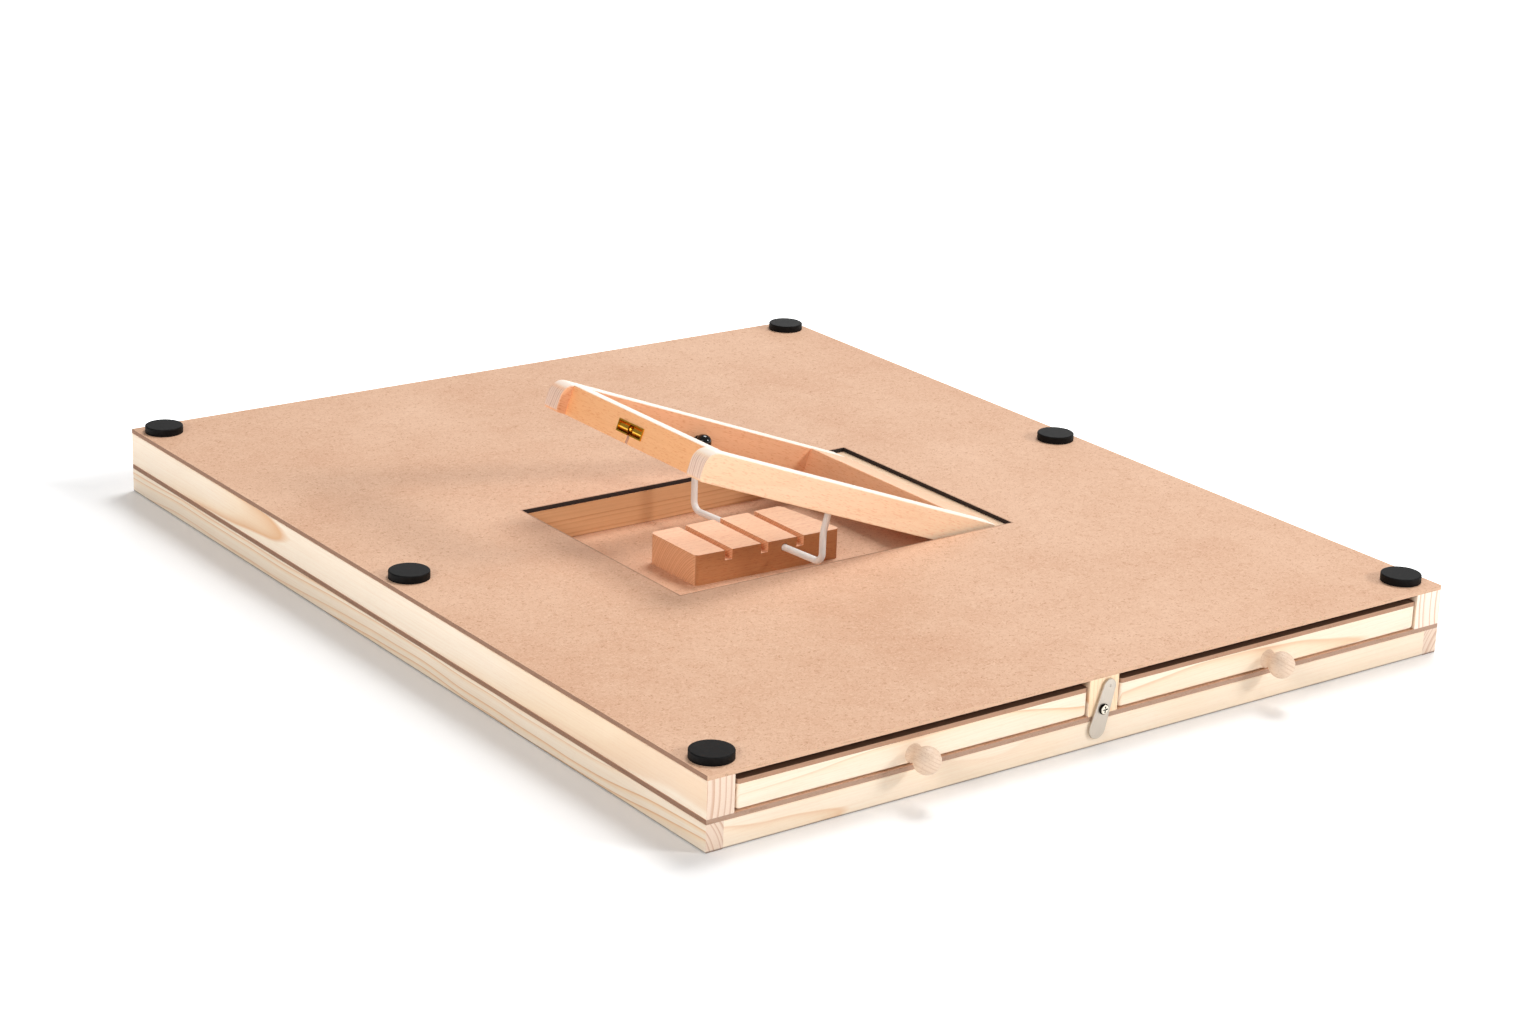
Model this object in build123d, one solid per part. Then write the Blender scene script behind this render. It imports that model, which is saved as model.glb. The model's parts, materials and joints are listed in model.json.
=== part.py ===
"""Wooden jigsaw-puzzle board with two drawers and a fold-out easel, lying face down on its rim.

Millimetres, +Z up. Every piece is drawn from the board's front left corner, with X along the drawer
edge and Y towards the back, and moved at the end so that the origin is the centre of the footprint.
"""
from build123d import *
from math import radians, sqrt, tan
import os

# ---- board ----
BOARD_WIDTH = 584.0          # along the drawer edge
BOARD_LENGTH = 720.0         # from the drawer edge to the back
SHEET = 3.0                  # every sheet of fibreboard
RIM_HEIGHT = 17.2            # rim that stands round the puzzle
RIM_THICK = 12.0
TIER_HEIGHT = 23.6           # rails of the drawer tier
TIER_THICK = 19.0
TIER_RIGHT_THICK = 22.0
EASE = 0.5                   # eased edge on every stick of timber

SURFACE_Z = RIM_HEIGHT                       # underside of the puzzle surface in this pose
FLOOR_Z = SURFACE_Z + SHEET                  # floor of the drawer tier and of the recess
PANEL_Z = FLOOR_Z + TIER_HEIGHT              # inner face of the outer panel
TOP_Z = PANEL_Z + SHEET                      # outer face of the panel

# ---- recess for the easel ----
CUT_LEFT = 146.4
CUT_RIGHT = 418.8
CUT_FRONT = 240.0
CUT_BACK = 428.6
WALL = 15.0                  # strips round the recess
CUT_MID = (CUT_FRONT + CUT_BACK) / 2

# ---- drawers ----
DIVIDER_LEFT = 279.6
DIVIDER_RIGHT = 302.8
DRAWER_SIDE_GAP = 1.6
DRAWER_LENGTH = 218.0
DRAWER_FRONT_THICK = 12.0
DRAWER_SIDE_THICK = 8.0
DRAWER_Z = FLOOR_Z + 1.0     # rim edge of the drawer, 1 mm clear of the floor
DRAWER_WALL = 15.8
DRAWER_CORNER = 2.5
DRAWER_END_R = 2.2
KNOB_OFFSET = -4.0           # the knobs sit a little left of centre
KNOB_DROP = 1.6              # and below the middle of the front
KNOB_BALL_R = 8.5
KNOB_BALL_Y = -12.7
KNOB_BASE_R = 6.1
KNOB_NECK_R = 5.0
KNOB_JOIN_R = 5.6            # where the neck meets the ball
KNOB_SCREW_R = 1.6
KNOB_REACH = KNOB_BALL_R - KNOB_BALL_Y

# ---- turn latch ----
LATCH_X = 290.0
LATCH_Z = 24.2
LATCH_TILT = 17.0            # degrees from upright, top end to the right
LATCH_THICK = 1.4
LATCH_LOW_R = 6.4
LATCH_TOP_R = 4.9
LATCH_HALF = 19.2
WASHER_THICK = 0.6
WASHER_R = 4.4
LATCH_SCREW_R = 1.9
LATCH_FIT = 0.08
LATCH_HEAD_R = 3.5
LATCH_HEAD = 1.4
LATCH_SCREW_LENGTH = 14.0

# ---- rubber feet ----
FOOT_R = 13.4
FOOT_HEIGHT = 5.2
FOOT_INSET_X = 17.0
FOOT_INSET_Y = 20.5
FOOT_INSET_BACK = 17.0
FOOT_MIDDLE_Y = {"left": 355.0, "right": 367.0}

# ---- easel frame, drawn folded flat and then raised about its hinge line ----
HINGE_X = 405.4
HINGE_Z = 38.0
EASEL_ANGLE = 21.0
EASEL_TOP = TOP_Z - 0.3      # just under the panel's outer face when folded
RAIL_HEIGHT = 20.6
RAIL_THICK = 15.5
RAIL_SIDE_GAP = 2.8
RAIL_NOSE_TOP_R = 10.0
RAIL_NOSE_LOW_R = 3.0
RAIL_REACH = 257.8           # hinge line to the nose
CROSS_FACE = 250.0           # hinge line to the cross rail's outer face
CROSS_THICK = 15.0
HINGE_RAIL_THICK = 33.5
HINGE_GAP = 2.0              # hinge line to the easel's end
STRIP_GAP = 1.8              # hinge line to the hinge strip

# ---- butt hinges ----
HINGE_LENGTH = 50.0
HINGE_OFFSET = 33.5          # from the recess's middle to each hinge's middle
KNUCKLE_R = 1.6
PIN_R = 0.8
PIN_FIT = 0.06
LEAF = 0.9
LEAF_HEIGHT = 10.0
KNUCKLE_GAP = 0.4
KNUCKLE_SWEEP_R = KNUCKLE_R + 0.4
LEAF_SCREW_DROP = 6.0        # hinge line down to the screws
LEAF_SCREW_PITCH = 18.0
LEAF_SCREW_R = 1.1
LEAF_SCREW_HEAD_R = 1.9
LEAF_SCREW_LENGTH = 10.0

# ---- notched block and stay ----
BLOCK_LEFT = 204.5
BLOCK_FRONT = 306.4
BLOCK_LENGTH = 115.5         # along its front face
BLOCK_SKEW = 8.0             # the right end is sawn out of square by this much
BLOCK_FLARE = 4.5            # and is this much wider than the left end
BLOCK_WIDTH = 53.6
BLOCK_HEIGHT = 21.3
BLOCK_CORNER = 3.5
NOTCH_FIRST = 25.7           # block's left end to the first notch's middle
NOTCH_PITCH = 28.55
NOTCH_WIDTH = 5.8
NOTCH_DEPTH = 7.0
NOTCH_COUNT = 3
STAY_FRONT = Vector(276.9, 264.8, 36.3)      # corners where the bar turns up into a leg
STAY_BACK = Vector(269.8, 403.0, 33.2)
ROD_R = 2.3
BORE_R = 2.75
STAY_BEND = 7.0
STAY_KNEE_Z = 57.0           # the legs are upright to here and lean to the right above it
STAY_KNEE_BEND = 22.0
STAY_LEAN = 15.0
STAY_TOP = 85.0
CAP_R = 5.5
CAP_LENGTH = 12.0            # length of leg inside each cap
CAP_WALL = 1.6
PIVOT_Z = 81.0
PIVOT_HEAD_R = 3.4
PIVOT_HEAD = 0.7

# ---- double ball catch ----
CATCH_Y = CUT_MID + 2.5
CATCH_LENGTH = 28.2
CATCH_HEIGHT = 8.4
CATCH_DEPTH = 7.0
CATCH_PROUD = 0.8
CATCH_WALL = 0.9
CATCH_DROP = 10.8             # easel's top face to the catch's middle
BALL_R = 2.3
BALL_FIT = 0.08
BALL_GAP = 2.2               # between the two balls
HOUSING_GAP = 5.4            # between the two ball housings
HOUSING_SET_BACK = 0.6
HOUSING_BORE = 7.0
CATCH_SCREW_R = 1.0
CATCH_SCREW_LENGTH = 7.0
STRIKER_PLATE = 1.2
BLADE = 1.6
BLADE_REACH = 3.0            # past the cross rail's face when folded
BLADE_SLOT = 2.6
BLADE_SLOT_DEPTH = 4.2

PINE_LEFT = TIER_THICK
PINE_RIGHT = BOARD_WIDTH - TIER_RIGHT_THICK
ORIGIN_SHIFT = Location((-BOARD_WIDTH / 2, -(BOARD_LENGTH - KNOB_REACH) / 2, 0))
HINGE_LINE = Axis((HINGE_X, 0, HINGE_Z), (0, 1, 0))


def slab(x0, x1, y0, y1, z0, z1):
    """A plain block between two corners."""
    middle = Pos((x0 + x1) / 2, (y0 + y1) / 2, (z0 + z1) / 2)
    return middle * Box(x1 - x0, y1 - y0, z1 - z0)


def timber(x0, x1, y0, y1, z0, z1, grain):
    """A stick of timber with its long edges eased."""
    stick = slab(x0, x1, y0, y1, z0, z1)
    return chamfer(stick.edges().filter_by(grain), EASE)


def rod(x, y, z, radius, length, axis):
    """A round bar that starts at a point and runs along +X, +Y or +Z."""
    turn = {"x": Rot(0, 90, 0), "y": Rot(-90, 0, 0), "z": Rot(0, 0, 0)}[axis]
    along = (Align.CENTER, Align.CENTER, Align.MIN)
    return Pos(x, y, z) * turn * Cylinder(radius, length, align=along)


def raised(shape):
    """An easel piece, turned up from folded to its standing angle."""
    return shape.rotate(HINGE_LINE, EASEL_ANGLE)


def save(name, *pieces):
    """Write one node, moved to the part's origin."""
    solids = [s for piece in pieces for s in piece.solids()]
    whole = solids[0] if len(solids) == 1 else Compound(children=solids)
    whole = whole.moved(ORIGIN_SHIFT)
    whole.label = name
    export_step(whole, f"parts/{name}.step")


# ---- board: sheets, rim and tier ----
def make_sheets():
    save("work_surface", slab(0, BOARD_WIDTH, 0, BOARD_LENGTH, SURFACE_Z, FLOOR_Z))
    panel = slab(0, BOARD_WIDTH, 0, BOARD_LENGTH, PANEL_Z, TOP_Z)
    panel -= slab(CUT_LEFT, CUT_RIGHT, CUT_FRONT, CUT_BACK, PANEL_Z - 1, TOP_Z + 1)
    save("bottom_panel", panel)


def make_rim():
    back = BOARD_LENGTH - RIM_THICK
    right = BOARD_WIDTH - RIM_THICK
    save("rim_rail_left", timber(0, RIM_THICK, 0, BOARD_LENGTH, 0, RIM_HEIGHT, Axis.Y))
    save("rim_rail_right", timber(right, BOARD_WIDTH, 0, BOARD_LENGTH, 0, RIM_HEIGHT, Axis.Y))
    save("rim_rail_front", timber(RIM_THICK, right, 0, RIM_THICK, 0, RIM_HEIGHT, Axis.X))
    save("rim_rail_back", timber(RIM_THICK, right, back, BOARD_LENGTH, 0, RIM_HEIGHT, Axis.X))


def make_tier():
    tier = (FLOOR_Z, PANEL_Z)
    back = BOARD_LENGTH - TIER_THICK
    divider = (DIVIDER_LEFT, DIVIDER_RIGHT)
    save("side_rail_left", timber(0, PINE_LEFT, 0, BOARD_LENGTH, *tier, Axis.Y))
    save("side_rail_right", timber(PINE_RIGHT, BOARD_WIDTH, 0, BOARD_LENGTH, *tier, Axis.Y))
    save("back_rail", timber(PINE_LEFT, PINE_RIGHT, back, BOARD_LENGTH, *tier, Axis.X))
    front = timber(*divider, 0, CUT_FRONT - WALL, *tier, Axis.Y)
    front -= rod(LATCH_X, 0, LATCH_Z, LATCH_SCREW_R, LATCH_SCREW_LENGTH, "y")
    save("drawer_divider", front)
    save("rear_spacer", timber(*divider, CUT_BACK + WALL, back, *tier, Axis.Y))


def hinge_middles():
    return [CUT_MID - HINGE_OFFSET, CUT_MID + HINGE_OFFSET]


def leaf_screws(x, way):
    """Countersunk screws through both leaves at x, pointing right (way 1) or left (way -1)."""
    screws = []
    z = HINGE_Z - LEAF_SCREW_DROP
    for middle in hinge_middles():
        for step in (-1, 0, 1):
            y = middle + step * LEAF_SCREW_PITCH
            shank_x = x if way > 0 else x - LEAF_SCREW_LENGTH
            head_x = x if way > 0 else x - LEAF
            screw = rod(shank_x, y, z, LEAF_SCREW_R, LEAF_SCREW_LENGTH, "x")
            screws.append(screw + rod(head_x, y, z, LEAF_SCREW_HEAD_R, LEAF, "x"))
    return screws


def make_recess_walls():
    tier = (FLOOR_Z, PANEL_Z)
    front = timber(PINE_LEFT, PINE_RIGHT, CUT_FRONT - WALL, CUT_FRONT, *tier, Axis.X)
    save("recess_wall_front", front)
    back = timber(PINE_LEFT, PINE_RIGHT, CUT_BACK, CUT_BACK + WALL, *tier, Axis.X)
    save("recess_wall_back", back)
    left = timber(CUT_LEFT - WALL, CUT_LEFT, CUT_FRONT, CUT_BACK, *tier, Axis.Y)
    save("recess_wall_left", left)
    face = HINGE_X + STRIP_GAP
    strip = timber(face, CUT_RIGHT + WALL, CUT_FRONT, CUT_BACK, *tier, Axis.Y)
    for y in hinge_middles():
        y0 = y - HINGE_LENGTH / 2 - KNUCKLE_GAP
        strip -= rod(HINGE_X, y0, HINGE_Z, KNUCKLE_SWEEP_R, HINGE_LENGTH + 2 * KNUCKLE_GAP, "y")
    for screw in leaf_screws(face - LEAF, 1):
        strip -= screw
    save("hinge_strip", strip)


# ---- feet ----
def make_feet():
    spots = {
        "front_left": (FOOT_INSET_X, FOOT_INSET_Y),
        "front_right": (BOARD_WIDTH - FOOT_INSET_X, FOOT_INSET_Y),
        "middle_left": (FOOT_INSET_X, FOOT_MIDDLE_Y["left"]),
        "middle_right": (BOARD_WIDTH - FOOT_INSET_X, FOOT_MIDDLE_Y["right"]),
        "back_left": (FOOT_INSET_X, BOARD_LENGTH - FOOT_INSET_BACK),
        "back_right": (BOARD_WIDTH - FOOT_INSET_X, BOARD_LENGTH - FOOT_INSET_BACK),
    }
    for spot, (x, y) in spots.items():
        foot = rod(x, y, TOP_Z, FOOT_R, FOOT_HEIGHT, "z")
        top_edge = foot.edges().sort_by(Axis.Z)[-1]
        save(f"foot_{spot}", fillet(top_edge, 0.8))


# ---- drawers ----
def knob_profile():
    """Half outline of the knob: a flared base, a waist and a ball."""
    join_y = KNOB_BALL_Y + sqrt(KNOB_BALL_R ** 2 - KNOB_JOIN_R ** 2)
    tip = KNOB_BALL_Y - KNOB_BALL_R
    with BuildSketch(Plane.XY) as half:
        with BuildLine():
            Line((0, 0), (KNOB_BASE_R, 0))
            Spline((KNOB_BASE_R, 0), (KNOB_NECK_R, -3.2), (KNOB_JOIN_R, join_y))
            ThreePointArc((KNOB_JOIN_R, join_y), (KNOB_BALL_R, KNOB_BALL_Y), (0, tip))
            Line((0, tip), (0, 0))
        make_face()
    return half.sketch


def make_drawer(side, x0, x1):
    """One drawer between two x limits: six boards, a knob and its screw."""
    x0, x1 = x0 + DRAWER_SIDE_GAP, x1 - DRAWER_SIDE_GAP
    low, high = DRAWER_Z, DRAWER_Z + DRAWER_WALL
    knob_x = (x0 + x1) / 2 + KNOB_OFFSET
    knob_z = (low + high) / 2 - KNOB_DROP
    front = slab(x0, x1, 0, DRAWER_FRONT_THICK, low, high)
    lower_corners = front.edges().filter_by(Axis.Y).group_by(Axis.Z)[0]
    front = fillet(lower_corners, DRAWER_CORNER)
    ends = front.edges().filter_by(Axis.Z).group_by(Axis.Y)[0]
    front = fillet(ends, DRAWER_END_R)
    front -= rod(knob_x, -1, knob_z, KNOB_SCREW_R, DRAWER_FRONT_THICK + 2, "y")
    save(f"drawer_{side}_front", front)
    sides_back = DRAWER_LENGTH - DRAWER_SIDE_THICK
    inner0, inner1 = x0 + DRAWER_SIDE_THICK, x1 - DRAWER_SIDE_THICK
    save(f"drawer_{side}_side_left",
         timber(x0, inner0, DRAWER_FRONT_THICK, DRAWER_LENGTH, low, high, Axis.Y))
    save(f"drawer_{side}_side_right",
         timber(inner1, x1, DRAWER_FRONT_THICK, DRAWER_LENGTH, low, high, Axis.Y))
    save(f"drawer_{side}_back",
         timber(inner0, inner1, sides_back, DRAWER_LENGTH, low, high, Axis.X))
    sheet = slab(x0, x1, 0, DRAWER_LENGTH, high, high + SHEET)
    corners = sheet.edges().filter_by(Axis.Z)
    save(f"drawer_{side}_bottom", fillet(corners, DRAWER_END_R))
    knob = revolve(knob_profile(), Axis.Y)
    knob -= rod(0, -10, 0, KNOB_SCREW_R, 11, "y")
    save(f"drawer_{side}_knob", Pos(knob_x, 0, knob_z) * knob)
    screw = rod(0, -10, 0, KNOB_SCREW_R, DRAWER_FRONT_THICK + 10, "y")
    screw += rod(0, DRAWER_FRONT_THICK, 0, 3.4, 2.0, "y")
    save(f"drawer_{side}_knob_screw", Pos(knob_x, 0, knob_z) * screw)


# ---- turn latch ----
def make_latch():
    low = LATCH_HALF - LATCH_LOW_R
    top = LATCH_HALF - LATCH_TOP_R
    with BuildSketch(Plane.XZ) as outline:
        with Locations((0, -low)):
            Circle(LATCH_LOW_R)
        with Locations((0, top)):
            Circle(LATCH_TOP_R)
        make_hull()
        Circle(LATCH_SCREW_R + LATCH_FIT, mode=Mode.SUBTRACT)
    plate = extrude(outline.sketch, LATCH_THICK)
    rim_edges = plate.edges().group_by(Axis.Y)[0]
    plate = chamfer(rim_edges, 0.25)
    plate -= Pos(0, -LATCH_THICK - 0.7, top + 0.6) * Sphere(1.2)
    plate = Rot(0, LATCH_TILT, 0) * plate
    save("latch_plate", Pos(LATCH_X, -WASHER_THICK, LATCH_Z) * plate)
    washer = rod(0, -WASHER_THICK, 0, WASHER_R, WASHER_THICK, "y")
    washer -= rod(0, -WASHER_THICK, 0, LATCH_SCREW_R + 0.1, WASHER_THICK, "y")
    save("latch_washer", Pos(LATCH_X, 0, LATCH_Z) * washer)
    head_y = -WASHER_THICK - LATCH_THICK - 0.2
    head_top = head_y - LATCH_HEAD
    head = rod(0, head_top, 0, LATCH_HEAD_R, LATCH_HEAD, "y")
    head = fillet(head.edges().sort_by(Axis.Y)[0], 1.1)
    head -= Pos(0, head_top, 0) * Box(1.0, 1.8, 4.2)
    head -= Pos(0, head_top, 0) * Box(4.2, 1.8, 1.0)
    screw = head + rod(0, head_y, 0, LATCH_SCREW_R, LATCH_SCREW_LENGTH - head_y, "y")
    save("latch_screw", Pos(LATCH_X, 0, LATCH_Z) * screw)


# ---- easel frame ----
RAIL_Y = {
    "front": (CUT_FRONT + RAIL_SIDE_GAP, CUT_FRONT + RAIL_SIDE_GAP + RAIL_THICK),
    "back": (CUT_BACK - RAIL_SIDE_GAP - RAIL_THICK, CUT_BACK - RAIL_SIDE_GAP),
}
EASEL_LOW = EASEL_TOP - RAIL_HEIGHT
CATCH_Z = EASEL_TOP - CATCH_DROP


def make_easel_rails():
    nose = HINGE_X - RAIL_REACH
    for name, (y0, y1) in RAIL_Y.items():
        rail = slab(nose, HINGE_X - HINGE_GAP, y0, y1, EASEL_LOW, EASEL_TOP)
        at_nose = rail.edges().filter_by(Axis.Y).group_by(Axis.X)[0].sort_by(Axis.Z)
        rail = fillet(at_nose[-1], RAIL_NOSE_TOP_R)
        at_nose = rail.edges().filter_by(Axis.Y).group_by(Axis.Z)[0].sort_by(Axis.X)
        rail = fillet(at_nose[0], RAIL_NOSE_LOW_R)
        rail = chamfer(rail.edges().filter_by(Axis.X), EASE)
        save(f"easel_rail_{name}", raised(rail))


def catch_box():
    """The catch's outer box, in the folded easel."""
    face = HINGE_X - CROSS_FACE
    half = CATCH_LENGTH / 2
    tall = CATCH_HEIGHT / 2
    return slab(face - CATCH_PROUD, face + CATCH_DEPTH, CATCH_Y - half, CATCH_Y + half,
                CATCH_Z - tall, CATCH_Z + tall)


def make_cross_rail():
    face = HINGE_X - CROSS_FACE
    inner = (RAIL_Y["front"][1], RAIL_Y["back"][0])
    rail = timber(face, face + CROSS_THICK, *inner, EASEL_LOW, EASEL_TOP, Axis.Y)
    rail -= catch_box()
    half_slot = BLADE_SLOT / 2
    rail -= slab(face - 1, face + BLADE_SLOT_DEPTH, CATCH_Y - half_slot, CATCH_Y + half_slot,
                 EASEL_LOW - 1, CATCH_Z)
    rail -= rod(face + CATCH_DEPTH - CATCH_WALL, CATCH_Y, CATCH_Z, CATCH_SCREW_R,
                CATCH_SCREW_LENGTH, "x")
    save("easel_cross_rail", raised(rail))


def make_hinge_rail():
    end = HINGE_X - HINGE_GAP
    inner = (RAIL_Y["front"][1], RAIL_Y["back"][0])
    rail = timber(end - HINGE_RAIL_THICK, end, *inner, EASEL_LOW, EASEL_TOP, Axis.Y)
    for screw in leaf_screws(end + LEAF, -1):
        rail -= screw
    save("easel_hinge_rail", raised(rail))


def make_catch():
    """A brass box with two sprung balls facing each other, and the blade that enters from below."""
    face = HINGE_X - CROSS_FACE
    rim = face - CATCH_PROUD
    back = face + CATCH_DEPTH - CATCH_WALL
    half_long = CATCH_LENGTH / 2 - CATCH_WALL
    half_tall = CATCH_HEIGHT / 2 - CATCH_WALL
    half_gap = HOUSING_GAP / 2
    ball_x = rim + HOUSING_SET_BACK + half_tall
    body = catch_box()
    body -= slab(rim - 1, back, CATCH_Y - half_long, CATCH_Y + half_long,
                 CATCH_Z - half_tall, CATCH_Z + half_tall)
    body -= slab(rim - 1, face + BLADE_SLOT_DEPTH, CATCH_Y - BLADE_SLOT / 2,
                 CATCH_Y + BLADE_SLOT / 2, CATCH_Z - CATCH_HEIGHT, CATCH_Z)
    housing = half_long - half_gap
    for start in (CATCH_Y - half_long, CATCH_Y + half_gap):
        body += rod(ball_x, start, CATCH_Z, half_tall, housing, "y")
    body -= rod(ball_x, CATCH_Y - half_gap - HOUSING_BORE, CATCH_Z, BALL_R + BALL_FIT,
                HOUSING_BORE, "y")
    body -= rod(ball_x, CATCH_Y + half_gap, CATCH_Z, BALL_R + BALL_FIT, HOUSING_BORE, "y")
    body -= rod(back, CATCH_Y, CATCH_Z, CATCH_SCREW_R, CATCH_WALL + 1, "x")
    save("catch_body", raised(body))
    offset = BALL_GAP / 2 + BALL_R
    for name, y in (("front", CATCH_Y - offset), ("back", CATCH_Y + offset)):
        save(f"catch_ball_{name}", raised(Pos(ball_x, y, CATCH_Z) * Sphere(BALL_R)))
    screw = rod(back - 1.0, CATCH_Y, CATCH_Z, 1.9, 1.0, "x")
    screw += rod(back, CATCH_Y, CATCH_Z, CATCH_SCREW_R, CATCH_SCREW_LENGTH, "x")
    save("catch_screw", raised(screw))
    plate_face = CUT_LEFT + STRIKER_PLATE
    plate = slab(CUT_LEFT, plate_face, CATCH_Y - 8, CATCH_Y + 8, CATCH_Z - 4, CATCH_Z + 4)
    blade = slab(plate_face, face + BLADE_REACH, CATCH_Y - BLADE / 2, CATCH_Y + BLADE / 2,
                 CATCH_Z - half_tall + 0.5, CATCH_Z + half_tall - 0.9)
    save("catch_striker", plate + blade)


def make_hinges():
    """Two butt hinges: the middle knuckle turns with the easel, the outer two stay put."""
    half_third = HINGE_LENGTH / 6
    end = HINGE_X - HINGE_GAP
    face = HINGE_X + STRIP_GAP
    low = HINGE_Z - LEAF_HEIGHT
    fixed_screws = leaf_screws(face - LEAF, 1)
    moving_screws = leaf_screws(end + LEAF, -1)
    fixed = []
    moving = []
    pins = []
    for y in hinge_middles():
        y0, y1 = y - HINGE_LENGTH / 2, y + HINGE_LENGTH / 2
        mid0, mid1 = y - half_third, y + half_third
        leaf = slab(face - LEAF, face, y0, y1, low, HINGE_Z)
        leaf -= rod(HINGE_X, mid0 - KNUCKLE_GAP, HINGE_Z, KNUCKLE_SWEEP_R,
                    mid1 - mid0 + 2 * KNUCKLE_GAP, "y")
        flap = slab(end, end + LEAF, y0, y1, low, HINGE_Z)
        for k0, k1 in ((y0, mid0 - KNUCKLE_GAP), (mid1 + KNUCKLE_GAP, y1)):
            leaf += rod(HINGE_X, k0, HINGE_Z, KNUCKLE_R, k1 - k0, "y")
        for k0, k1 in ((y0 - 1, mid0), (mid1, y1 + 1)):
            flap -= rod(HINGE_X, k0, HINGE_Z, KNUCKLE_SWEEP_R, k1 - k0, "y")
        flap += rod(HINGE_X, mid0, HINGE_Z, KNUCKLE_R, mid1 - mid0, "y")
        leaf -= rod(HINGE_X, y0, HINGE_Z, PIN_R, HINGE_LENGTH, "y")
        flap -= rod(HINGE_X, mid0, HINGE_Z, PIN_R + PIN_FIT, mid1 - mid0, "y")
        for screw in fixed_screws:
            leaf -= screw
        for screw in moving_screws:
            flap -= screw
        fixed.append(leaf)
        moving.append(raised(flap))
        pins.append(rod(HINGE_X, y0, HINGE_Z, PIN_R, HINGE_LENGTH, "y"))
    save("hinge_leaves_board", *fixed)
    save("hinge_leaves_easel", *moving)
    save("hinge_pins", *pins)
    save("hinge_screws_board", *fixed_screws)
    save("hinge_screws_easel", *[raised(screw) for screw in moving_screws])


# ---- notched block and stay ----
def make_block():
    left, right = BLOCK_LEFT, BLOCK_LEFT + BLOCK_LENGTH
    y0, y1 = BLOCK_FRONT, BLOCK_FRONT + BLOCK_WIDTH
    corners = [(left, y0), (right, y0 - BLOCK_FLARE), (right - BLOCK_SKEW, y1), (left, y1)]
    outline = make_face(Polyline(*corners, close=True))
    block = Pos(0, 0, FLOOR_Z) * extrude(outline, BLOCK_HEIGHT)
    block = fillet(block.edges().filter_by(Axis.Z), BLOCK_CORNER)
    top = FLOOR_Z + BLOCK_HEIGHT
    for step in range(NOTCH_COUNT):
        x = left + NOTCH_FIRST + step * NOTCH_PITCH
        block -= slab(x - NOTCH_WIDTH / 2, x + NOTCH_WIDTH / 2, y0 - BLOCK_FLARE, y1 + 1,
                      top - NOTCH_DEPTH, top + 1)
    bar = STAY_BACK - STAY_FRONT
    bore = Cylinder(BORE_R, bar.length, align=(Align.CENTER, Align.CENTER, Align.MIN))
    block -= Plane(origin=STAY_FRONT, z_dir=bar) * bore
    save("notched_block", block)


def leg_points(corner):
    """The knee and the top end of the leg that rises from one corner of the stay."""
    knee = Vector(corner.X, corner.Y, STAY_KNEE_Z)
    rise = STAY_TOP - STAY_KNEE_Z
    return knee, knee + Vector(rise * tan(radians(STAY_LEAN)), 0, rise)


def make_stay():
    knee_front, top_front = leg_points(STAY_FRONT)
    knee_back, top_back = leg_points(STAY_BACK)
    path = FilletPolyline(top_front, knee_front, STAY_FRONT, STAY_BACK, knee_back, top_back,
                          radius=[STAY_KNEE_BEND, STAY_BEND, STAY_BEND, STAY_KNEE_BEND])
    start = Plane(origin=top_front, z_dir=knee_front - top_front)
    save("stay_rod", sweep(start * Circle(ROD_R), path=path))
    upward = (Align.CENTER, Align.CENTER, Align.MIN)
    for name, top in (("front", top_front), ("back", top_back)):
        cap = Cylinder(CAP_R, CAP_LENGTH + CAP_WALL, align=upward)
        cap = fillet(cap.edges().sort_by(Axis.Z)[-1], CAP_R - 0.5)
        cap -= Cylinder(ROD_R, CAP_LENGTH, align=upward)
        save(f"stay_cap_{name}", Pos(*top) * Rot(0, STAY_LEAN, 0) * Pos(0, 0, -CAP_LENGTH) * cap)
    reach = (PIVOT_Z - STAY_KNEE_Z) * tan(radians(STAY_LEAN))
    back_face = RAIL_Y["back"][0] - PIVOT_HEAD
    heads = [
        rod(STAY_FRONT.X + reach, RAIL_Y["front"][1], PIVOT_Z, PIVOT_HEAD_R, PIVOT_HEAD, "y"),
        rod(STAY_BACK.X + reach, back_face, PIVOT_Z, PIVOT_HEAD_R, PIVOT_HEAD, "y"),
    ]
    save("stay_pivot_studs", *heads)


os.makedirs("parts", exist_ok=True)
make_sheets()
make_rim()
make_tier()
make_recess_walls()
make_feet()
make_drawer("left", PINE_LEFT, DIVIDER_LEFT)
make_drawer("right", DIVIDER_RIGHT, PINE_RIGHT)
make_latch()
make_easel_rails()
make_cross_rail()
make_hinge_rail()
make_catch()
make_hinges()
make_block()
make_stay()
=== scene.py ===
"""The looks of the puzzle board: timber, fibreboard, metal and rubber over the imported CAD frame.

Metres, +Z up, in the CAD model's own frame: X along the drawer edge, Y away from the drawers.
"""
import json
import math

import bpy
from mathutils import Matrix, Vector


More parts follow.
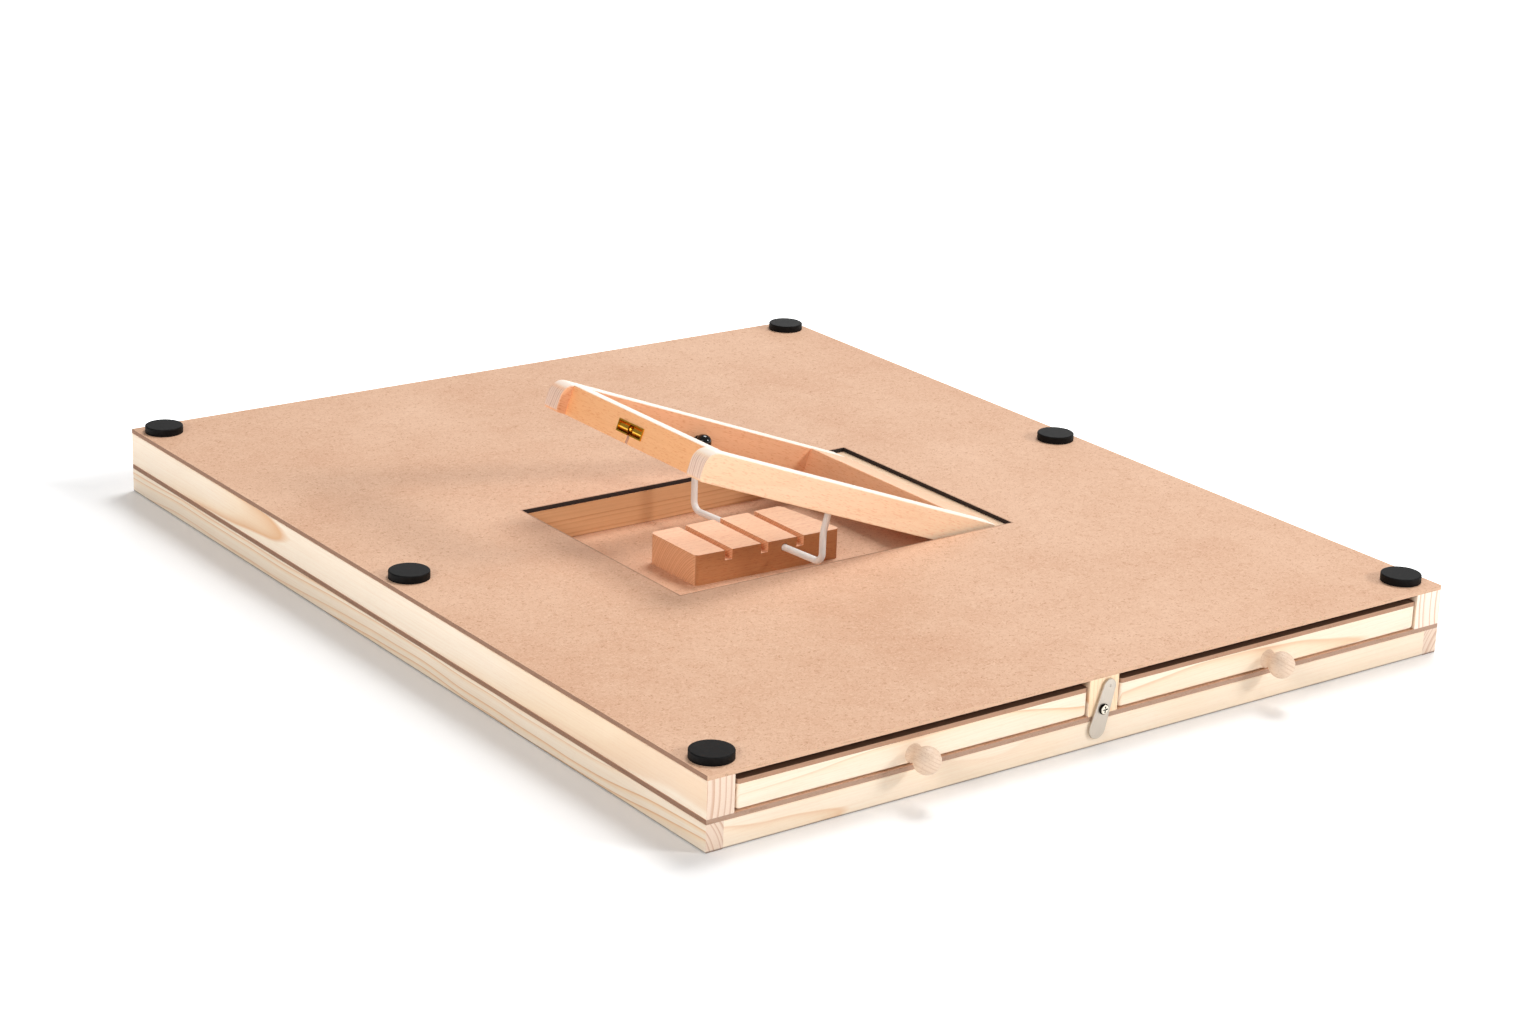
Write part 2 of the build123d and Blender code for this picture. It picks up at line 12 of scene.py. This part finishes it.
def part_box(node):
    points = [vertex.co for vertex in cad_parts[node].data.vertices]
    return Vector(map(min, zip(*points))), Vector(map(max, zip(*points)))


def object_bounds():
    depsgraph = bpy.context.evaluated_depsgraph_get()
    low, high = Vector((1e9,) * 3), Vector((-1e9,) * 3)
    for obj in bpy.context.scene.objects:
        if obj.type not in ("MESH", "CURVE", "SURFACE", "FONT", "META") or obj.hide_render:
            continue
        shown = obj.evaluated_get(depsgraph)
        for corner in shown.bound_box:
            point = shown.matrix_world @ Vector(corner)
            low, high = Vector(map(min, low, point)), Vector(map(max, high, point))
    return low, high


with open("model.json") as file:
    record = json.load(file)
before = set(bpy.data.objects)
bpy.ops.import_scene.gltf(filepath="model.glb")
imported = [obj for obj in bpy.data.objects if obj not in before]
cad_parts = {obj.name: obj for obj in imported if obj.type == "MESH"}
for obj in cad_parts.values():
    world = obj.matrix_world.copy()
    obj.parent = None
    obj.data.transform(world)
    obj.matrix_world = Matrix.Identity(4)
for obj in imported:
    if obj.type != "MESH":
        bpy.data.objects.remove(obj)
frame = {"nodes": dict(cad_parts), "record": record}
CAD_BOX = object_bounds()
MM = 0.001

# axes that faces and grain are measured along
X_AXIS = (1, 0, 0)
Y_AXIS = (0, 1, 0)
Z_AXIS = (0, 0, 1)
TO_THE_FRONT = (0, -1, 0)

# the looks' own sizes
LATCH_LEAN = math.radians(17)
FOOT_FROM, FOOT_TO = 1.3 * MM, 0.4 * MM         # the dark line at the rim's foot, for its contact shade
SHADE_BAND, SHADE_FADE = 32 * MM, 12 * MM       # a drawer's sheet is darker here, for the gap's shade
CHAR_FROM, CHAR_TO = 1.2 * MM, 0.6 * MM         # the burnt edge of the cut-out
SCORCH_FROM, SCORCH_TO = 2.6 * MM, 0.7 * MM     # and the browned strip round it

# the studio
FLOOR_HALF = 30.0
GLOW_FROM, GLOW_TO = 0.02, 0.14                 # metres out from the board, where the floor turns white
WORLD_STRENGTH = 0.30
SOFT_BOXES = (                                  # name, place, target, size, watts
    ("key", (2.7, 1.3, 5.5), (0, 0, 0), (2.2, 2.2), 214.0),
    ("front", (2.6, -3.0, 1.9), (0, 0, 0), (1.0, 0.6), 74.0),
    ("left", (-3.0, -1.7, 1.6), (0, 0, 0), (1.4, 0.7), 42.0),
    ("rim", (1.9, 2.4, 0.45), (0, 0, 0.05), (2.4, 0.8), 16.0),
)
LENS = 75.9
SENSOR = 36.0
SHIFT = (-0.038, 0.0015)
EYE = (-1.2406, -1.6763, 0.7669)
EYE_TURN = (70.86, -2.25, -36.85)               # degrees


def joint(name):
    return next(j for j in frame["record"]["behaviour"]["joints"] if j["name"] == name)


HINGE = Vector(joint("easel_hinge")["pos_m"])
EASEL_ANGLE = math.radians(-joint("easel_hinge")["range_deg"][0])

ALONG_X = (Vector((1, 0, 0)), Vector((0, 1, 0)), Vector((0, 0, 1)))
ALONG_Y = (Vector((0, 1, 0)), Vector((1, 0, 0)), Vector((0, 0, 1)))
TILT = Matrix.Rotation(EASEL_ANGLE, 3, "Y")
ALONG_RAIL = tuple(TILT @ v for v in ALONG_X)
ACROSS_RAIL = (Vector((0, 1, 0)), TILT @ Vector((1, 0, 0)), TILT @ Vector((0, 0, 1)))


# ---- colour and node helpers ----
def srgb(red, green, blue):
    """A 0-255 display colour as linear RGBA."""
    out = []
    for value in (red / 255, green / 255, blue / 255):
        low = value / 12.92
        high = ((value + 0.055) / 1.055) ** 2.4
        out.append(low if value <= 0.04045 else high)
    return (*out, 1.0)


class Graph:
    """A small builder for one material's nodes."""

    def __init__(self, name, roughness=0.6):
        self.material = bpy.data.materials.new(name)
        self.material.use_nodes = True
        self.tree = self.material.node_tree
        self.shader = self.tree.nodes["Principled BSDF"]
        self.shader.inputs["Roughness"].default_value = roughness
        self.place = None

    def node(self, kind, **settings):
        made = self.tree.nodes.new(kind)
        for key, value in settings.items():
            setattr(made, key, value)
        return made

    def put(self, socket, value):
        """Feeds a socket from another socket, or sets it to a value."""
        if isinstance(value, bpy.types.NodeSocket):
            self.tree.links.new(value, socket)
        else:
            socket.default_value = value

    def math(self, operation, first, second=0.0, clamp=False):
        made = self.node("ShaderNodeMath", operation=operation, use_clamp=clamp)
        self.put(made.inputs[0], first)
        self.put(made.inputs[1], second)
        return made.outputs[0]

    def point(self):
        """The point in the row frame."""
        if self.place is None:
            self.place = self.node("ShaderNodeTexCoord")
        return self.place.outputs["Object"]

    def facing(self):
        self.point()
        return self.place.outputs["Normal"]

    def dot(self, vector, direction):
        made = self.node("ShaderNodeVectorMath", operation="DOT_PRODUCT")
        self.put(made.inputs[0], vector)
        made.inputs[1].default_value = direction
        return made.outputs["Value"]

    def join(self, x, y, z):
        made = self.node("ShaderNodeCombineXYZ")
        for socket, value in zip(made.inputs, (x, y, z)):
            self.put(socket, value)
        return made.outputs[0]

    def noise(self, vector, scale=1.0, detail=2.0, roughness=0.5, curl=0.0):
        made = self.node("ShaderNodeTexNoise")
        self.put(made.inputs["Vector"], vector)
        made.inputs["Scale"].default_value = scale
        made.inputs["Detail"].default_value = detail
        made.inputs["Roughness"].default_value = roughness
        made.inputs["Distortion"].default_value = curl
        return made.outputs["Fac"]

    def ramp(self, value, stops, blend="LINEAR"):
        made = self.node("ShaderNodeValToRGB")
        made.color_ramp.interpolation = blend
        points = made.color_ramp.elements
        while len(points) < len(stops):
            points.new(0.5)
        for point, (position, colour) in zip(points, stops):
            point.position = position
            point.color = colour
        self.put(made.inputs[0], value)
        return made.outputs["Color"]

    def grade(self, value, low, high):
        """0 up to low, 1 from high on, smooth between. It falls instead where high is below low."""
        made = self.node("ShaderNodeMapRange", interpolation_type="SMOOTHSTEP")
        self.put(made.inputs["Value"], value)
        made.inputs["From Min"].default_value = low
        made.inputs["From Max"].default_value = high
        return made.outputs["Result"]

    def mix(self, factor, first, second, blend="MIX"):
        made = self.node("ShaderNodeMix", data_type="RGBA", blend_type=blend)
        self.put(made.inputs[0], factor)
        self.put(made.inputs[6], first)
        self.put(made.inputs[7], second)
        return made.outputs[2]

    def outside_box(self, point, middle, half):
        """How far a point lies outside an upright box in plan, the larger of X and Y."""
        away = []
        for axis, centre, reach in zip((X_AXIS, Y_AXIS), middle, half):
            offset = self.math("SUBTRACT", self.dot(point, axis), centre)
            away.append(self.math("SUBTRACT", self.math("ABSOLUTE", offset), reach))
        return self.math("MAXIMUM", *away)

    def bump(self, height, depth, strength=0.5):
        made = self.node("ShaderNodeBump")
        made.inputs["Strength"].default_value = strength
        made.inputs["Distance"].default_value = depth
        self.put(made.inputs["Height"], height)
        self.put(self.shader.inputs["Normal"], made.outputs[0])

    def colour(self, value):
        self.put(self.shader.inputs["Base Color"], value)


# ---- timber ----
PINE = {
    "early": srgb(250, 233, 211),
    "mid": srgb(246, 218, 184),
    "late": srgb(226, 170, 116),
    "end": srgb(236, 212, 192),
    "end_line": srgb(196, 146, 112),
    "ring": 3.2 * MM,
    "warp": 3.4 * MM,
    "rings_seen": 0.62,
    "pore": 0.06,
}
BEECH = {
    "early": srgb(250, 192, 148),
    "mid": srgb(241, 176, 130),
    "late": srgb(212, 142, 94),
    "end": srgb(242, 208, 186),
    "end_line": srgb(196, 146, 120),
    "ring": 2.2 * MM,
    "warp": 1.6 * MM,
    "rings_seen": 0.16,
    "pore": 0.34,
}
BOLD_PINE = PINE | {"ring": 5.6 * MM, "end": srgb(252, 236, 220), "end_line": srgb(216, 140, 84)}
FLAT_PINE = PINE | {"rings_seen": 0.85, "warp": 5.0 * MM}
TONGUE_PINE = FLAT_PINE | {"warp": 2.2 * MM, "ring": 4.4 * MM}
PLAIN_PINE = PINE | {"end": srgb(252, 222, 186), "end_line": srgb(240, 194, 148)}
# pine for the recess's front and back walls: a more orange tone, and darkened as painted shade
SHADED_RECESS_PINE = PINE | {"early": srgb(212, 164, 120), "mid": srgb(198, 144, 98), "late": srgb(162, 102, 60)}
PALE_BEECH = BEECH | {"early": srgb(255, 222, 188), "mid": srgb(254, 212, 172), "late": srgb(236, 174, 126),
                      "end": srgb(248, 218, 198)}
GOLDEN_BEECH = BEECH | {"early": srgb(255, 190, 132), "mid": srgb(250, 176, 114), "late": srgb(220, 140, 78)}
RED_BEECH = BEECH | {"early": srgb(252, 204, 168), "mid": srgb(244, 184, 144), "late": srgb(206, 136, 92),
                     "end": srgb(234, 180, 138), "end_line": srgb(196, 130, 90), "ring": 1.6 * MM}
KNOB_WOOD = BEECH | {"early": srgb(230, 204, 180), "mid": srgb(222, 192, 166), "late": srgb(198, 162, 132),
                     "end": srgb(230, 204, 180), "end_line": srgb(204, 168, 138), "rings_seen": 0.30}


def timber(name, wood, axes, heart, lean=(0.0, 0.0), seed=0.0, dark_side=None, pale_side=None):
    """Wood sawn from a trunk: rings round a heart line, streaks along the grain, pores and end grain.

    heart is where the trunk's centre lies, in metres across the grain, and lean is how much that
    centre wanders per metre along it, which draws the long tongues on a flat-sawn face.
    Faces that look in the direction dark_side are toned down, and those towards pale_side are toned
    up: a stand-in for the light that falls on them. wood is one of the tables above.
    """
    along, side, up = axes
    g = Graph(name, roughness=0.5)
    p = g.point()
    a = g.dot(p, along)
    s = g.math("ADD", g.math("SUBTRACT", g.dot(p, side), heart[0]), g.math("MULTIPLY", a, lean[0]))
    u = g.math("ADD", g.math("SUBTRACT", g.dot(p, up), heart[1]), g.math("MULTIPLY", a, lean[1]))
    slow = g.join(g.math("MULTIPLY", s, 16.0), g.math("MULTIPLY", u, 16.0),
                  g.math("ADD", g.math("MULTIPLY", a, 4.5), seed))
    wander = g.math("MULTIPLY", g.math("SUBTRACT", g.noise(slow, detail=2), 0.5), wood["warp"] * 2)
    radius = g.math("SQRT", g.math("ADD", g.math("MULTIPLY", s, s), g.math("MULTIPLY", u, u)))
    turn = g.math("DIVIDE", g.math("ADD", radius, wander), wood["ring"])
    uneven = g.noise(g.join(turn, seed, 0.0), scale=0.7, detail=1)
    phase = g.math("FRACT", g.math("ADD", turn, g.math("MULTIPLY", uneven, 1.6)))
    rings = g.ramp(phase, [(0.0, wood["early"]), (0.42, wood["early"]), (0.78, wood["mid"]),
                           (0.945, wood["late"]), (1.0, wood["early"])])
    picked = g.grade(g.noise(g.join(turn, seed + 3.0, g.math("MULTIPLY", a, 2.0)), scale=0.45, detail=1),
                     0.40, 0.62)
    seen = g.math("ADD", g.math("MULTIPLY", picked, wood["rings_seen"]), 0.10)
    ground = g.mix(g.grade(g.noise(slow, scale=2.6, detail=3), 0.35, 0.75), wood["early"], wood["mid"])
    body = g.mix(seen, g.mix(0.35, wood["early"], ground), rings)
    streak = g.noise(g.join(g.math("MULTIPLY", s, 900.0), g.math("MULTIPLY", u, 900.0),
                            g.math("MULTIPLY", a, 14.0)), detail=3)
    body = g.mix(g.math("MULTIPLY", g.grade(streak, 0.35, 0.75), 0.13), body, wood["late"])
    fleck = g.noise(g.join(g.math("MULTIPLY", s, 1500.0), g.math("MULTIPLY", u, 1500.0),
                           g.math("MULTIPLY", a, 240.0)), detail=1)
    pores = g.math("MULTIPLY", g.grade(fleck, 0.56, 0.70), wood["pore"])
    body = g.mix(pores, body, wood["late"], "MULTIPLY")
    # painted shade on faces that look towards dark_side, painted light on faces towards pale_side
    if dark_side:
        in_shade = g.grade(g.dot(g.facing(), dark_side), 0.2, 0.7)
        body = g.mix(in_shade, body, srgb(190, 162, 130), "MULTIPLY")
    if pale_side:
        in_light = g.grade(g.dot(g.facing(), pale_side), 0.45, 0.85)
        body = g.mix(g.math("MULTIPLY", in_light, 0.8), body, srgb(255, 244, 232))
    square_on = g.math("ABSOLUTE", g.dot(g.facing(), along))
    at_end = g.grade(square_on, 0.75, 0.97)
    dots = g.noise(p, scale=1900.0, detail=2)
    line = g.grade(phase, 0.55, 0.95)
    end = g.mix(g.math("MULTIPLY", line, 0.62), wood["end"], wood["end_line"])
    end = g.mix(g.math("MULTIPLY", g.grade(dots, 0.5, 0.75), 0.25), end, wood["late"], "MULTIPLY")
    whole = g.mix(at_end, body, end)
    # painted contact shade: a dark line along the foot of the wood, just above the table
    painted_foot_shade = g.math("MULTIPLY", g.grade(g.dot(p, Z_AXIS), FOOT_FROM, FOOT_TO), 0.8)
    g.colour(g.mix(painted_foot_shade, whole, srgb(84, 60, 46)))
    g.bump(g.math("ADD", streak, g.math("MULTIPLY", pores, -1.5)), 0.10 * MM, 0.35)
    return g.material


# ---- fibreboard ----
def fibreboard(name, front_edge, hole=None, shade_to=None):
    """Pressed fibre sheet: fine matted fibres and darker sawn edges.

    hole is the low and high corner of a cut-out whose edges are charred. shade_to is how far along Y
    the outside of the sheet is darkened, a stand-in for the shade in the gap in front of it.
    """
    g = Graph(name, roughness=0.72)
    p = g.point()
    cloud = g.noise(p, scale=9.0, detail=4, roughness=0.65)
    base = g.ramp(cloud, [(0.30, srgb(217, 169, 136)), (0.52, srgb(225, 181, 149)),
                          (0.75, srgb(232, 190, 159))])
    patch = g.noise(p, scale=75.0, detail=3, roughness=0.6, curl=0.8)
    base = g.mix(g.math("MULTIPLY", g.grade(patch, 0.45, 0.78), 0.35), base, srgb(212, 164, 129))
    fibre = g.noise(p, scale=430.0, detail=3, roughness=0.62, curl=1.6)
    base = g.mix(g.math("MULTIPLY", g.grade(fibre, 0.50, 0.72), 0.55), base, srgb(244, 206, 176))
    base = g.mix(g.math("MULTIPLY", g.grade(fibre, 0.48, 0.26), 0.9), base, srgb(186, 132, 96))
    speck = g.grade(g.noise(p, scale=520.0, detail=3), 0.70, 0.77)
    base = g.mix(g.math("MULTIPLY", speck, 0.6), base, srgb(160, 104, 68))
    facing = g.facing()
    # painted shade: the sheet's upward face is darkened along its front band, under the gap
    if shade_to is not None:
        strip = g.grade(g.dot(p, Y_AXIS), shade_to, shade_to - SHADE_FADE)
        outside = g.grade(g.dot(facing, Z_AXIS), 0.6, 0.8)
        base = g.mix(g.math("MULTIPLY", strip, outside), base, srgb(84, 56, 36))
    at_side = g.grade(g.math("ABSOLUTE", g.dot(facing, X_AXIS)), 0.6, 0.8)
    at_front = g.grade(g.math("ABSOLUTE", g.dot(facing, Y_AXIS)), 0.6, 0.8)
    layers = g.noise(g.join(g.math("MULTIPLY", g.dot(p, X_AXIS), 60.0),
                            g.math("MULTIPLY", g.dot(p, Y_AXIS), 60.0),
                            g.math("MULTIPLY", g.dot(p, Z_AXIS), 900.0)), detail=2)
    rough_edge = g.math("MULTIPLY", g.grade(g.math("ADD", layers, fibre), 1.0, 1.3), 0.45)
    whole = g.mix(at_side, base, g.mix(rough_edge, srgb(150, 112, 88), srgb(108, 76, 58)))
    whole = g.mix(at_front, whole, g.mix(rough_edge, front_edge, srgb(142, 100, 72)))
    if hole:
        low, high = hole
        distance = g.outside_box(p, (low + high) / 2, (high - low) / 2)
        ragged = g.math("MULTIPLY", g.noise(p, scale=260.0, detail=2), 1.2 * MM)
        scorched = g.grade(g.math("ADD", distance, ragged), SCORCH_FROM, SCORCH_TO)
        whole = g.mix(g.math("MULTIPLY", scorched, 0.55), whole, srgb(120, 70, 40))
        at_edge = g.math("MAXIMUM", at_side, at_front)
        burnt = g.math("MULTIPLY", g.grade(distance, CHAR_FROM, CHAR_TO), at_edge)
        whole = g.mix(burnt, whole, srgb(30, 17, 12))
    g.colour(whole)
    g.bump(g.math("ADD", fibre, g.math("MULTIPLY", patch, 0.6)), 0.16 * MM, 0.4)
    return g.material


# ---- metal, rubber and plastic ----
STEEL = srgb(205, 202, 196)


def brushed(name, tint, direction, roughness=0.32):
    """Brushed metal: fine lines along one direction, in colour, roughness and bump."""
    g = Graph(name, roughness)
    g.shader.inputs["Metallic"].default_value = 1.0
    p = g.point()
    across = Vector(Y_AXIS).cross(direction)
    lines = g.noise(g.join(g.math("MULTIPLY", g.dot(p, across), 5200.0),
                           g.math("MULTIPLY", g.dot(p, direction), 90.0),
                           g.math("MULTIPLY", g.dot(p, Y_AXIS), 5200.0)), detail=3)
    smear = g.noise(p, scale=160.0, detail=3)
    g.colour(g.mix(g.math("MULTIPLY", g.grade(lines, 0.3, 0.7), 0.22), tint,
                   tuple(c * 0.72 for c in tint[:3]) + (1,)))
    marks = g.math("ADD", g.math("MULTIPLY", smear, 0.12), g.math("MULTIPLY", lines, 0.16))
    g.put(g.shader.inputs["Roughness"], g.math("ADD", marks, roughness - 0.14))
    g.bump(lines, 0.03 * MM, 0.25)
    return g.material


def screw_head(name):
    """Bright steel on the face that looks out of the front, nearly black round its rim: painted shade on the
    head's side wall.
    """
    g = Graph(name, 0.22)
    g.shader.inputs["Metallic"].default_value = 1.0
    turned = g.noise(g.point(), scale=1400.0, detail=2)
    # painted shade: every face but the front one turns nearly black
    out = g.grade(g.dot(g.facing(), TO_THE_FRONT), 0.80, 0.97)
    bright = g.mix(g.math("MULTIPLY", turned, 0.3), srgb(236, 230, 214), srgb(150, 140, 120))
    g.colour(g.mix(out, srgb(34, 28, 24), bright))
    g.bump(turned, 0.03 * MM, 0.3)
    return g.material


def rubber(name):
    """Matt black rubber with a little dust."""
    g = Graph(name, 0.6)
    g.shader.inputs["Specular IOR Level"].default_value = 0.14
    p = g.point()
    dust = g.grade(g.noise(p, scale=300.0, detail=4), 0.45, 0.8)
    g.colour(g.mix(g.math("MULTIPLY", dust, 0.5), srgb(8, 7, 7), srgb(28, 25, 23)))
    g.bump(g.noise(p, scale=2600.0, detail=2), 0.08 * MM, 0.35)
    return g.material


def coated(name, tint, roughness):
    """A smooth painted or moulded skin with faint handling marks."""
    g = Graph(name, roughness)
    p = g.point()
    marks = g.grade(g.noise(p, scale=220.0, detail=4), 0.5, 0.8)
    worn = tuple(c * 0.86 for c in tint[:3]) + (1,)
    g.colour(g.mix(g.math("MULTIPLY", marks, 0.4), tint, worn))
    g.put(g.shader.inputs["Roughness"], g.math("ADD", g.math("MULTIPLY", marks, 0.12), roughness))
    g.bump(g.noise(p, scale=900.0, detail=2), 0.02 * MM, 0.2)
    return g.material


# ---- which material each CAD node wears ----
def wear(node, material):
    """Puts a material on a CAD node."""
    for slot in frame["nodes"][node].material_slots:
        slot.material = material


def cut_out():
    """The corners of the hole in the panel, from the walls round the recess."""
    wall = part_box("recess_wall_left")[1][0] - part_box("recess_wall_left")[0][0]
    low = Vector((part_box("recess_wall_left")[1][0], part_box("recess_wall_front")[1][1], 0))
    high = Vector((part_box("hinge_strip")[1][0] - wall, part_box("recess_wall_back")[0][1], 0))
    return low, high


def dress_sheets():
    wear("bottom_panel", fibreboard("fibreboard_cut", srgb(214, 174, 144), cut_out()))
    wear("work_surface", fibreboard("fibreboard_surface", srgb(178, 144, 122)))
    drawer_sheet = fibreboard("fibreboard_drawer", srgb(176, 134, 106),
                              shade_to=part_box("drawer_left_bottom")[0][1] + SHADE_BAND)
    for side in ("left", "right"):
        wear(f"drawer_{side}_bottom", drawer_sheet)


def dress_board_timber():
    (left, _, _), (right, back, _) = CAD_BOX
    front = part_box("rim_rail_front")[0][1]
    # wood, axes of the grain, heart, lean, seed
    sticks = {
        "rim_rail_left": (FLAT_PINE, ALONG_Y, (left - 0.075, -0.038), (0.006, 0.004), 1.0),
        "rim_rail_right": (PINE, ALONG_Y, (right + 0.05, -0.03), (0.008, 0.006), 2.0),
        "rim_rail_front": (FLAT_PINE, ALONG_X, (front - 0.075, 0.004), (0.005, -0.02), 3.0),
        "rim_rail_back": (PINE, ALONG_X, (back + 0.08, 0.03), (0.005, 0.008), 4.0),
        "side_rail_left": (TONGUE_PINE, ALONG_Y, (left - 0.11175, 0.034), (-0.009, 0.003), 5.0),
        "side_rail_right": (BOLD_PINE, ALONG_Y, (right + 0.10, 0.034), (0.008, 0.002), 6.0),
        "back_rail": (PINE, ALONG_X, (back + 0.10, 0.03), (0.006, 0.003), 7.0),
        "drawer_divider": (PLAIN_PINE, ALONG_Y, (0.11, 0.04), (0.006, 0.004), 8.0),
        "rear_spacer": (PINE, ALONG_Y, (0.12, 0.04), (0.006, 0.004), 9.0),
    }
    for node, (wood, axes, heart, lean, seed) in sticks.items():
        wear(node, timber(f"pine_{node}", wood, axes, heart, lean, seed))
    # painted shade: the recess's front and back walls wear the darkened pine
    recess = timber("pine_recess", SHADED_RECESS_PINE, ALONG_X, (0.06, -0.05), (0.006, 0.004), 16.0)
    wear("recess_wall_front", recess)
    wear("recess_wall_back", recess)
    wear("recess_wall_left", timber("pine_recess_left", PINE, ALONG_Y, (0.1, -0.04), (0.006, 0.005), 17.0))


def dress_drawers():
    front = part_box("drawer_left_front")[0][1]
    for side, seed in (("left", 10.0), ("right", 13.0)):
        face = timber(f"pine_drawer_{side}", FLAT_PINE, ALONG_X, (front - 0.07, 0.020), (0.004, -0.03), seed)
        wear(f"drawer_{side}_front", face)
        wear(f"drawer_{side}_back", face)
        rail = timber(f"pine_drawer_rail_{side}", PINE, ALONG_Y, (0.1, 0.1), (0.006, 0.008), seed + 1)
        wear(f"drawer_{side}_side_left", rail)
        wear(f"drawer_{side}_side_right", rail)
        low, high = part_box(f"drawer_{side}_knob")
        heart = ((low[0] + high[0]) / 2 + 0.02, (low[2] + high[2]) / 2 + 0.03)
        wear(f"drawer_{side}_knob", timber(f"knob_{side}", KNOB_WOOD, ALONG_Y, heart, (0.02, 0.04), seed + 2))
        wear(f"drawer_{side}_knob_screw", brushed(f"knob_screw_{side}", STEEL, Vector(X_AXIS)))


def dress_easel():
    level = HINGE.dot(ALONG_RAIL[2])
    # the rails' top faces get painted light, a pale sheen, through pale_side
    top_face = ALONG_RAIL[2]
    strip_heart = (HINGE.x + 0.05, -0.04)
    wear("hinge_strip", timber("beech_strip", PALE_BEECH, ALONG_Y, strip_heart, (0.006, 0.01), 18.0))
    rails = (("easel_rail_front", PALE_BEECH, -1, 19.0), ("easel_rail_back", BEECH, 1, 20.0))
    for node, wood, side, seed in rails:
        heart = (HINGE.y + side * 0.17, level)
        wear(node, timber(f"beech_{node}", wood, ALONG_RAIL, heart, (0.01, 0.01), seed, pale_side=top_face))
    wear("easel_cross_rail", timber("beech_cross", GOLDEN_BEECH, ACROSS_RAIL, (-0.25, level),
                                    (0.006, 0.008), 21.0, pale_side=top_face))
    wear("easel_hinge_rail", timber("beech_hinge_rail", BEECH, ACROSS_RAIL, (0.0, level),
                                    (0.006, 0.01), 22.0))
    # painted shade on the block's front face, through dark_side
    wear("notched_block", timber("beech_block", RED_BEECH, ALONG_X, (-0.07, -0.01),
                                 (0.006, 0.01), 23.0, dark_side=TO_THE_FRONT))


def dress_fittings():
    feet = rubber("rubber")
    for node in frame["nodes"]:
        if node.startswith("foot_"):
            wear(node, feet)
    lean = Vector((math.sin(LATCH_LEAN), 0, math.cos(LATCH_LEAN)))
    wear("latch_plate", brushed("steel_latch", srgb(200, 191, 179), lean, 0.42))
    plain_steel = brushed("steel", STEEL, Vector(X_AXIS), 0.25)
    wear("latch_screw", screw_head("latch_screw_head"))
    for node in ("latch_washer", "hinge_leaves_board", "hinge_leaves_easel", "hinge_pins",
                 "hinge_screws_board", "hinge_screws_easel", "stay_pivot_studs"):
        wear(node, plain_steel)
    brass = brushed("brass", srgb(236, 180, 60), Vector(X_AXIS), 0.2)
    for node in ("catch_body", "catch_ball_front", "catch_ball_back", "catch_screw", "catch_striker"):
        wear(node, brass)
    wear("stay_rod", coated("white_rod", srgb(240, 237, 232), 0.35))
    black = coated("black_cap", srgb(7, 7, 7), 0.14)
    for node in ("stay_cap_front", "stay_cap_back"):
        wear(node, black)


# ---- studio ----
def floor():
    """A white table that shows the board's shadow near it and glows white further out."""
    mesh = bpy.data.meshes.new("floor")
    corners = [(x * FLOOR_HALF, y * FLOOR_HALF, 0) for x, y in ((-1, -1), (1, -1), (1, 1), (-1, 1))]
    mesh.from_pydata(corners, [], [(0, 1, 2, 3)])
    plane = bpy.data.objects.new("floor", mesh)
    bpy.context.collection.objects.link(plane)
    g = Graph("floor", 0.45)
    g.colour(srgb(247, 247, 247))
    g.shader.inputs["Specular IOR Level"].default_value = 0.25
    distance = g.outside_box(g.point(), (0.0, 0.0), CAD_BOX[1][:2])
    glow = g.grade(distance, GLOW_FROM, GLOW_TO)
    g.put(g.shader.inputs["Emission Color"], g.mix(glow, (0.04, 0.04, 0.04, 1), (1, 1, 1, 1)))
    g.shader.inputs["Emission Strength"].default_value = 1.0
    mesh.materials.append(g.material)


def soft_box(name, place, target, size, power):
    data = bpy.data.lights.new(name, "AREA")
    data.shape = "RECTANGLE"
    data.size, data.size_y = size
    data.energy = power
    lamp = bpy.data.objects.new(name, data)
    lamp.location = place
    lamp.rotation_mode = "QUATERNION"
    lamp.rotation_quaternion = (Vector(target) - Vector(place)).to_track_quat("-Z", "Y")
    bpy.context.collection.objects.link(lamp)


def studio():
    world = bpy.data.worlds.new("studio")
    world.use_nodes = True
    background = world.node_tree.nodes["Background"]
    background.inputs["Color"].default_value = (1, 1, 1, 1)
    background.inputs["Strength"].default_value = WORLD_STRENGTH
    bpy.context.scene.world = world
    bpy.context.scene.view_settings.view_transform = "Standard"
    for name, place, target, size, power in SOFT_BOXES:
        soft_box(name, place, target, size, power)


def camera():
    data = bpy.data.cameras.new("camera")
    data.lens = LENS
    data.sensor_width = SENSOR
    data.shift_x, data.shift_y = SHIFT
    eye = bpy.data.objects.new("camera", data)
    eye.location = EYE
    eye.rotation_euler = [math.radians(turn) for turn in EYE_TURN]
    bpy.context.collection.objects.link(eye)
    bpy.context.scene.camera = eye


dress_sheets()
dress_board_timber()
dress_drawers()
dress_easel()
dress_fittings()
floor()
studio()
camera()
